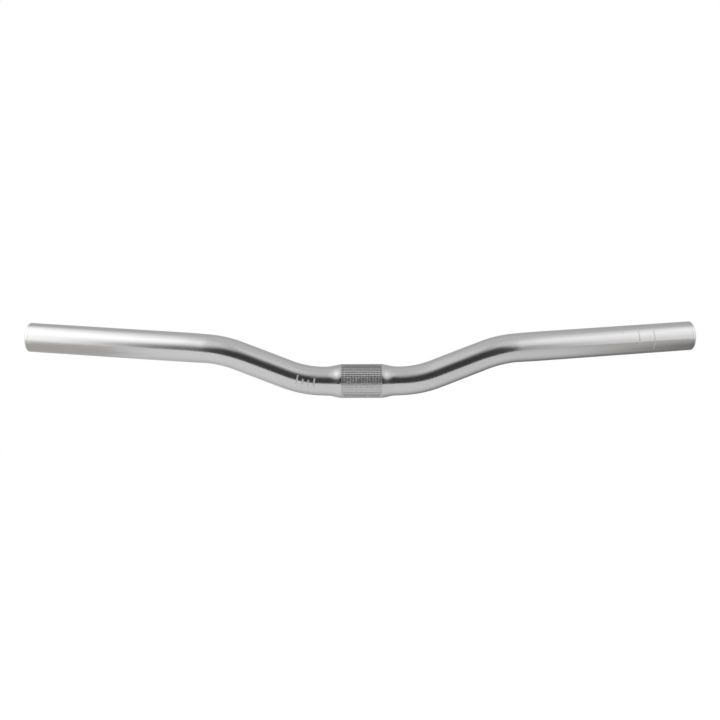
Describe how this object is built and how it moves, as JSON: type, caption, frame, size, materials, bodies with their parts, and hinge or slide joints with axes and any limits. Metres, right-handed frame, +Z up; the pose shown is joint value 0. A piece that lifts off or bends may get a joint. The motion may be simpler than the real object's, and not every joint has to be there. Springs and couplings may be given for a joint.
{
  "type": "riser handlebar",
  "caption": "Bicycle riser handlebar: a bent silver aluminium tube, knurled and wider where the stem clamps it, with straight swept-back grip ends.",
  "frame": {"origin": "middle of the stem clamp, on the tube's axis", "axes": "+X to the right grip as the picture shows it, +Z up in the direction of the rise, +Y to the rider, the way the grips sweep back"},
  "size_m": [0.51, 0.0525, 0.058],
  "materials": {
    "handlebar": "polished and clear anodised, with fine lines from polishing round the tube"
  },
  "bodies": {
    "root": {"handlebar": "handlebar"}
  },
  "joints": []
}
